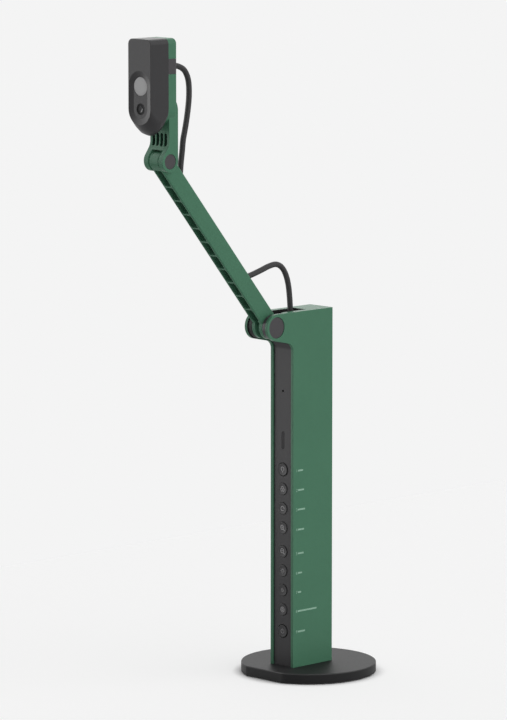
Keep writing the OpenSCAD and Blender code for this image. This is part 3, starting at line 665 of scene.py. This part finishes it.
# %% Top of the arm
ARM_LEAN = math.radians(39.9)
OPENING_END, OPENING_MORE = (-9.75 * MM, -7.85 * MM), 5.0 * MM
OPENING_HALF, OPENING_FLOOR = 3.75 * MM, 4.7 * MM
ROUND_R, GROOVE_X, GROOVE_HALF, GROOVE_DEEP = 6.6 * MM, 3.95 * MM, 0.35 * MM, 0.6 * MM
GROOVE_START, HAIR = 0.2 * MM, 0.1 * WELD
up_the_arm = Vector((0, -math.sin(ARM_LEAN), math.cos(ARM_LEAN)))
to_its_back = Vector((0, math.cos(ARM_LEAN), math.sin(ARM_LEAN)))
arm_top = Vector((0, *upper_pivot))


def height(corner):
    """How far a corner lies above the upper hinge, along the arm."""
    return (corner.co - arm_top).dot(up_the_arm)


def from_axis(corner):
    """The arrow from the upper hinge's axis to a corner."""
    return Vector((0, *(corner.co - arm_top).yz))


arm = bpy.data.objects["arm_beam_shell"]
shape = bmesh.new()
shape.from_mesh(arm.data)
end_wall = [v for v in shape.verts if abs(v.co.x) < OPENING_HALF
            and OPENING_END[0] < height(v) < OPENING_END[1]
            and (v.co - arm_top).dot(to_its_back) < OPENING_FLOOR]
bmesh.ops.translate(shape, vec=OPENING_MORE * up_the_arm, verts=end_wall)
for x in (GROOVE_X - GROOVE_HALF, GROOVE_X, GROOVE_X + GROOVE_HALF):
    bent = [f for f in shape.faces if all(abs(from_axis(v).length - ROUND_R) < WELD and height(v) > -WELD
                                          for v in f.verts)]
    sides = {e for f in bent for e in f.edges}
    cut = bmesh.ops.bisect_plane(shape, geom=[*bent, *sides, *{v for e in sides for v in e.verts}],
                                 dist=HAIR, plane_co=(x, 0, 0), plane_no=(1, 0, 0))["geom_cut"]
    for edge in cut:
        if isinstance(edge, bmesh.types.BMEdge):
            edge.smooth = False
groove = [v for v in shape.verts if abs(v.co.x - GROOVE_X) < HAIR and height(v) > GROOVE_START
          and abs(from_axis(v).length - ROUND_R) < WELD]
for corner in groove:
    bmesh.ops.translate(shape, vec=-GROOVE_DEEP * from_axis(corner).normalized(), verts=[corner])
shape.to_mesh(arm.data)
shape.free()
print("corners of the opening's end:", len(end_wall), "corners in the groove:", len(groove))

# %% [markdown]
# ## The vents in the neck
# Four slots stand side by side in the head's neck and read almost black in the photograph, where their
# upper ends slip up under the chin. They are in the solid already, so only their upper ends are slid up,
# and the walls inside take a darker green as painted shade.

# %% Vents in the neck
VENT_PITCH, VENT_HALF = 3.9 * MM, 1.25 * MM
VENT_X = [i * VENT_PITCH for i in (-1.5, -0.5, 0.5, 1.5)]
VENT_LOW, VENT_HIGH, VENT_MORE = 10.2 * MM, 18.2 * MM, 1.0 * MM
NECK_FRONT, VENT_RIM = -1.1 * MM, 0.4 * MM
neck = bpy.data.objects["head_back_shell"]
neck.data.materials.append(vent_painted_shade)
shape = bmesh.new()
shape.from_mesh(neck.data)


def in_vent(spot, margin):
    """Whether a spot, measured from the upper hinge, lies within the outline of a vent."""
    return (VENT_LOW - margin < spot.z < VENT_HIGH + margin
            and any(abs(spot.x - x) < VENT_HALF + margin for x in VENT_X))


upper_ends = [v for v in shape.verts if in_vent(v.co - arm_top, VENT_RIM)
              and (v.co - arm_top).z > VENT_HIGH - VENT_HALF - WELD
              and (v.co - arm_top).y > NECK_FRONT - WELD]
painted_shade_walls = [f for f in shape.faces if in_vent(f.calc_center_median() - arm_top, WELD)
              and (f.calc_center_median() - arm_top).y > NECK_FRONT + VENT_RIM]
# The walls inside the vents take the painted-shade green
for face in painted_shade_walls:
    face.material_index = 1
bmesh.ops.translate(shape, vec=(0, 0, VENT_MORE), verts=upper_ends)
shape.to_mesh(neck.data)
shape.free()
print("corners of the vents' upper ends:", len(upper_ends), "dark walls:", len(painted_shade_walls))

# %% [markdown]
# ## Painted shade inside the column
# The slot for the cable and the gaps beside the panel read black in the photograph, so the shell's faces
# that look inwards are painted black there as painted shade: they take a second material, chosen by their
# direction. The strips beside the panel stay green up to the panel's front, so the mesh is first cut
# there.

# %% Inside of the column
FACING = 0.5
column = bpy.data.objects["column_shell_shell"]
# Black on the inward faces of the green shell, as painted shade
column.data.materials.append(black_plastic)
panel_faces = [f for f in nodes["front_panel"].data.polygons if f.normal.y < LEVEL]
panel_front = max(panel_faces, key=lambda f: f.area).center.y
cut = bmesh.new()
cut.from_mesh(column.data)
panel_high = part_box("front_panel")[1]
for spot, square in (((0, panel_front, 0), (0, 1, 0)), ((0, 0, panel_high.z), (0, 0, 1))):
    bmesh.ops.bisect_plane(cut, geom=[*cut.verts, *cut.edges, *cut.faces], dist=WELD,
                           plane_co=spot, plane_no=square)
painted_shade_faces = 0
for face in cut.faces:
    middle, way = face.calc_center_median(), face.normal
    side_wall = way.x * middle.x < -FACING * abs(middle.x)
    back_wall = way.y < -FACING and abs(middle.x) < panel_high.x
    if (side_wall or back_wall) and (middle.y > panel_front or middle.z > panel_high.z):
        face.material_index = 1
        painted_shade_faces += 1
cut.to_mesh(column.data)
cut.free()
print("dark faces inside the column:", painted_shade_faces)

# %% [markdown]
# ## Button caps
# Nine round caps stand half a millimetre out of the panel, each with a softly rounded rim and a
# shallow dish for the fingertip. A cap is round, so half its outline is spun about the middle. Below
# the panel it keeps the collar and the stem of its solid.

# %% Buttons
BUTTONS = ("light", "filter", "rotate", "zoom_in", "zoom_out", "brighter", "darker", "focus", "power")
SPIN_STEPS = 64
MERGE = 0.001 * MM
BIG_BUTTONS, CAP_R, BIG_CAP_R = ("light", "power"), 4.2 * MM, 4.4 * MM
COLLAR_T, STEM_LONG, STEM_R = 0.8 * MM, 1.0 * MM, 1.5 * MM
DISH, DISH_W, DISH_STEPS, RIM_R = 0.16 * MM, 2.2 * MM, 6, 0.32 * MM


def spun(outline, steps=SPIN_STEPS):
    """A closed round body from [radius, depth] points in order, spun about the Z axis."""
    shape = bmesh.new()
    corners = [shape.verts.new((r, 0, z)) for r, z in outline]
    sides = [shape.edges.new(pair) for pair in zip(corners, corners[1:])]
    bmesh.ops.spin(shape, geom=corners + sides, cent=(0, 0, 0), axis=(0, 0, 1), angle=2 * math.pi,
                   steps=steps, use_merge=True)
    bmesh.ops.remove_doubles(shape, verts=shape.verts, dist=MERGE)
    bmesh.ops.recalc_face_normals(shape, faces=shape.faces)
    for face in shape.faces:
        face.smooth = True
    for edge in shape.edges:
        edge.smooth = edge.calc_face_angle(0) < SHARP
    return shape


def face_front(shape, middle):
    """Turns a body that was spun about Z so that its depth runs along +Y from a point."""
    bmesh.ops.rotate(shape, cent=(0, 0, 0), matrix=Matrix.Rotation(math.radians(-90), 3, "X"),
                     verts=shape.verts)
    bmesh.ops.translate(shape, vec=middle, verts=shape.verts)
    return shape


def arc(middle, radius, start, end, steps=6):
    """Points on an arc of an outline, with angles in degrees."""
    turns = [math.radians(start + (end - start) * i / steps) for i in range(steps + 1)]
    return [(middle[0] + radius * math.cos(t), middle[1] + radius * math.sin(t)) for t in turns]


button_face = {}
for name in BUTTONS:
    low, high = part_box(name + "_button")
    front = Vector((0, low.y, (low.z + high.z) / 2))
    collar_r = (high.z - low.z) / 2
    cap_r = BIG_CAP_R if name in BIG_BUTTONS else CAP_R
    stem_end = high.y - low.y
    collar_end = stem_end - STEM_LONG
    shares = [i / DISH_STEPS for i in range(DISH_STEPS)]
    hollow = [(cap_r - RIM_R - DISH_W * (1 - out), DISH * (1 - out ** 2)) for out in shares]
    outline = [(0, DISH), *hollow, *arc((cap_r - RIM_R, RIM_R), RIM_R, -90, 0),
               (cap_r, collar_end - COLLAR_T), (collar_r, collar_end - COLLAR_T), (collar_r, collar_end),
               (STEM_R, collar_end), (STEM_R, stem_end), (0, stem_end)]
    stand_in(name + "_button", face_front(spun(outline), front), button_dark, keep_normals=False)
    button_face[name] = front + Vector((0, DISH, 0))
print("buttons:", len(button_face))

# %% [markdown]
# ## Signs on the buttons
# Each button carries a small printed sign. Ink stands a few hundredths of a millimetre proud, so
# each sign is a thin plate of rings and bars: a ring is an edge spun round and given thickness, a
# bar is a stretched square. The signs are common ones: a bulb, circles, a turning arrow, a magnifier
# with plus or minus, a sun, a ring in a ring, and a power ring.

# %% Signs
INK_T = 0.03 * MM
LINE, HANDLE = 0.42 * MM, 0.6 * MM
RING_STEPS, FEWEST_STEPS = 40, 6
FAINT_SIGNS = ("brighter", "darker", "power")


def ring(shape, middle, radius, width=LINE, start=0, sweep=360):
    """A flat ring, or part of one, in the XZ plane."""
    made = [shape.verts.new((radius - width / 2, 0, 0)), shape.verts.new((radius + width / 2, 0, 0))]
    edge = shape.edges.new(made)
    turn = Matrix.Rotation(-math.radians(start), 3, "Y")
    bmesh.ops.rotate(shape, cent=(0, 0, 0), matrix=turn, verts=made)
    before = set(shape.verts) - set(made)
    bmesh.ops.spin(shape, geom=[*made, edge], cent=(0, 0, 0), axis=(0, -1, 0), angle=math.radians(sweep),
                   steps=max(FEWEST_STEPS, round(RING_STEPS * sweep / 360)), use_merge=sweep == 360)
    bmesh.ops.translate(shape, vec=middle, verts=[v for v in shape.verts if v not in before])


def bar(shape, start, end, width=LINE):
    """A flat bar between two points of the XZ plane."""
    along = Vector(end) - Vector(start)
    made = bmesh.ops.create_grid(shape, x_segments=1, y_segments=1, size=0.5)["verts"]
    bmesh.ops.scale(shape, vec=(along.length, width, 1), verts=made)
    turn = math.atan2(along.z, along.x)
    matrix = Matrix.Rotation(-turn, 3, "Y") @ Matrix.Rotation(math.radians(90), 3, "X")
    bmesh.ops.rotate(shape, cent=(0, 0, 0), matrix=matrix, verts=made)
    bmesh.ops.translate(shape, vec=(Vector(start) + Vector(end)) / 2, verts=made)


def at(x, z):
    """A point of the XZ plane, from millimetres."""
    return Vector((x * MM, 0, z * MM))


def sun(shape, core, near, far, rays=8):
    """A ring with rays round it."""
    ring(shape, at(0, 0), core * MM)
    for i in range(rays):
        t = 2 * math.pi * i / rays
        bar(shape, at(near * math.cos(t), near * math.sin(t)), at(far * math.cos(t), far * math.sin(t)))


def magnifier(shape, plus):
    """A ring with a handle and a plus or a minus in it."""
    ring(shape, at(-0.4, 0.4), 1.5 * MM)
    bar(shape, at(0.75, -0.75), at(2.0, -2.0), HANDLE)
    bar(shape, at(-1.15, 0.4), at(0.35, 0.4))
    if plus:
        bar(shape, at(-0.4, -0.35), at(-0.4, 1.15))


def sign(shape, name):
    """Draws one button's sign as flat faces."""
    if name == "light":
        ring(shape, at(0, 0.45), 1.35 * MM, start=-60, sweep=300)
        bar(shape, at(-0.55, -1.2), at(0.55, -1.2))
        bar(shape, at(-0.4, -1.75), at(0.4, -1.75))
    elif name == "filter":
        for turn in (90, 210, 330):
            t = math.radians(turn)
            ring(shape, at(0.85 * math.cos(t), 0.85 * math.sin(t)), 1.05 * MM)
    elif name == "rotate":
        ring(shape, at(0, 0), 1.6 * MM, start=30, sweep=290)
        bar(shape, at(1.39, 0.8), at(1.95, -0.25))
        bar(shape, at(1.39, 0.8), at(0.35, 0.25))
    elif name in ("zoom_in", "zoom_out"):
        magnifier(shape, name == "zoom_in")
    elif name in ("brighter", "darker"):
        sun(shape, *((0.95, 1.45, 2.1) if name == "brighter" else (0.8, 1.2, 1.55)))
    elif name == "focus":
        ring(shape, at(0, 0), 1.75 * MM)
        ring(shape, at(0, 0), 0.7 * MM)
    else:
        ring(shape, at(0, 0), 1.5 * MM, start=120, sweep=300)
        bar(shape, at(0, 0.3), at(0, 2.0))


def raised(shape, way):
    """Gives flat faces the thickness of ink on the side they show."""
    for face in shape.faces:
        if face.normal.dot(way) < 0:
            face.normal_flip()
    thick = bmesh.ops.extrude_face_region(shape, geom=list(shape.faces))
    bmesh.ops.translate(shape, vec=INK_T * way,
                        verts=[v for v in thick["geom"] if isinstance(v, bmesh.types.BMVert)])
    bmesh.ops.recalc_face_normals(shape, faces=shape.faces)


def printed(shape, name, finish):
    """Puts a finished print in the scene."""
    mesh = bpy.data.meshes.new(name)
    shape.to_mesh(mesh)
    shape.free()
    mesh.materials.append(finish)
    piece = bpy.data.objects.new(name, mesh)
    scene.collection.objects.link(piece)
    return piece


for name in BUTTONS:
    shape = bmesh.new()
    sign(shape, name)
    bmesh.ops.remove_doubles(shape, verts=shape.verts, dist=MERGE)
    raised(shape, Vector((0, -1, 0)))
    bmesh.ops.translate(shape, vec=button_face[name], verts=shape.verts)
    piece = printed(shape, name + "_sign", faint_ink if name in FAINT_SIGNS else icon_ink)
    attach(piece, name + "_button")
print("signs:", len(BUTTONS))

# %% [markdown]
# ## Marks on the side
# Beside each button the side of the column carries a small printed mark. Here it is a plain numeral
# and a thin line. Text could stay a text object, but a mesh exports more surely, so each numeral is
# turned into a mesh first and then laid on the side face.

# %% Marks
MARK_LEFT = -24.3 * MM
# Name, height and right end in millimetres
MARKS = (("light", 148.3, -17.3), ("filter", 134.4, -16.3), ("rotate", 120.5, -15.3),
         ("zoom_in", 106.2, -16.2), ("zoom_out", 89.2, -16.7), ("brighter", 75.2, -18.2),
         ("darker", 61.4, -19.1), ("focus", 47.8, -3.6), ("power", 33.1, -15.1))
NUMERAL_H, NUMERAL_W, NUMERAL_WELD = 2.1 * MM, 2.0 * MM, 0.005 * MM
FONT_SHARE = 0.7  # height of a numeral in its font's size
MARK_LINE = 1.2 * MM
side_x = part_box("column_shell")[1].x
to_side = Matrix(((0, 0, 1), (1, 0, 0), (0, 1, 0)))


def numeral_mesh(text):
    """A numeral as a flat mesh, its lower left corner at the origin."""
    letters = bpy.data.curves.new("numeral", "FONT")
    letters.body = text
    letters.size = NUMERAL_H / FONT_SHARE
    drawn = bpy.data.objects.new("numeral", letters)
    scene.collection.objects.link(drawn)
    bpy.context.view_layer.update()
    mesh = bpy.data.meshes.new_from_object(drawn.evaluated_get(bpy.context.evaluated_depsgraph_get()))
    bpy.data.objects.remove(drawn)
    return mesh


for count, (name, up, right) in enumerate(MARKS, 1):
    shape = bmesh.new()
    flat = numeral_mesh(str(count))
    shape.from_mesh(flat)
    bpy.data.meshes.remove(flat)
    bmesh.ops.remove_doubles(shape, verts=shape.verts, dist=NUMERAL_WELD)
    bmesh.ops.translate(shape, vec=(0, -NUMERAL_H / 2, 0), verts=shape.verts)
    length = right * MM - MARK_LEFT - NUMERAL_W
    line = bmesh.ops.create_grid(shape, x_segments=1, y_segments=1, size=0.5)["verts"]
    bmesh.ops.scale(shape, vec=(length, MARK_LINE, 1), verts=line)
    bmesh.ops.translate(shape, vec=(NUMERAL_W + length / 2, 0, 0), verts=line)
    raised(shape, Vector((0, 0, 1)))
    bmesh.ops.transform(shape, matrix=to_side.to_4x4(), verts=shape.verts)
    bmesh.ops.translate(shape, vec=(side_x, MARK_LEFT, up * MM), verts=shape.verts)
    piece = printed(shape, name + "_mark", side_ink)
    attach(piece, "stand")
print("marks:", len(MARKS))

# %% [markdown]
# ## The light and the lens
# The light is a round frosted plate, flush with the floor of the dish, with a softly rounded rim.
# Below it a black barrel holds the lens: a bevelled mouth, and in it a thin ring over the edge of the
# glass. The face of the glass is hollow, so that it shows a small spot of light on one side. All are
# round, so each is one spun outline.

# %% Light and lens
PLATE_STEPS, PLATE_RIM, PLATE_BULGE, COLLAR = 96, 0.25 * MM, 0.01 * MM, 1.0 * MM
MOUTH_SLIP, MOUTH_RIM, IRIS_R, SEAT_GAP = 0.1 * MM, 0.18 * MM, 1.5 * MM, 0.1 * MM
BOWL_SHARE, HOLLOW, BOWL_STEPS = 0.7, 0.95 * MM, 10
LIP, LIP_GAP = 0.12 * MM, 0.03 * MM


def disc_middle(node):
    """The middle of a round solid's front, its radius and its depth."""
    low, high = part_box(node)
    return Vector((0, low.y, (low.z + high.z) / 2)), (high.z - low.z) / 2, high.y - low.y


front, rim_r, depth = disc_middle("light_diffuser")
outline = [(0, 0), (LIGHT_R / 2, PLATE_BULGE), *arc((LIGHT_R - PLATE_RIM, PLATE_RIM), PLATE_RIM, -90, 0),
           (LIGHT_R, depth - COLLAR), (rim_r, depth - COLLAR), (rim_r, depth), (0, depth)]
plate = face_front(spun(outline, PLATE_STEPS), front)
stand_in("light_diffuser", plate, frosted_plastic, keep_normals=False)

front, barrel_r, depth = disc_middle("lens_barrel")
glass_front, glass_r, glass_depth = disc_middle("lens_glass")
mouth_r, bowl_r = glass_r + MOUTH_SLIP, BOWL_SHARE * glass_r
sunk = glass_front.y - front.y
seat = sunk + glass_depth + SEAT_GAP
lip_back, lip_front = sunk - LIP_GAP, sunk - LIP_GAP - LIP
outline = [*arc((mouth_r + MOUTH_RIM, MOUTH_RIM), MOUTH_RIM, 180, 270),
           *arc((barrel_r - MOUTH_RIM, MOUTH_RIM), MOUTH_RIM, -90, 0), (barrel_r, depth),
           (IRIS_R, depth), (IRIS_R, seat), (mouth_r, seat), (mouth_r, lip_back), (bowl_r, lip_back),
           (bowl_r, lip_front), (mouth_r, lip_front), (mouth_r, MOUTH_RIM)]
stand_in("lens_barrel", face_front(spun(outline), front), lens_black, keep_normals=False)

shares = [i / BOWL_STEPS for i in range(BOWL_STEPS + 1)]
hollow = [(bowl_r * out, HOLLOW * (1 - out ** 2)) for out in shares]
outline = [*hollow, (glass_r, 0), (glass_r, glass_depth), (0, glass_depth)]
stand_in("lens_glass", face_front(spun(outline), glass_front), lens_glass, keep_normals=False)
print("lens radius", round(glass_r / MM, 2), "mm, sunk", round(sunk / MM, 2), "mm")

# %% [markdown]
# ## The pieces that keep their solid
# Axles, boards, switches and screws sit inside, and their plain solids are right as they are. Each
# only needs the surface of what it is made of.

# %% Finishes of the inner solids
inner = {
    "base_screws": steel, "arm_axle": steel, "head_axle": steel, "microphone": black_plastic,
    "arm_bush": brass, "control_board": circuit_board, "main_board": circuit_board,
    "light_board": circuit_board, "sensor_board": circuit_board, "tact_switches": black_plastic,
    "cable_clamp": black_plastic, "arm_cable": cable_rubber}
for node, finish in inner.items():
    nodes[node].data.materials.clear()
    nodes[node].data.materials.append(finish)
left_plain = [n for n, o in nodes.items() if n not in inner and not o.hide_render]
print("inner solids:", len(inner), "left plain:", left_plain)
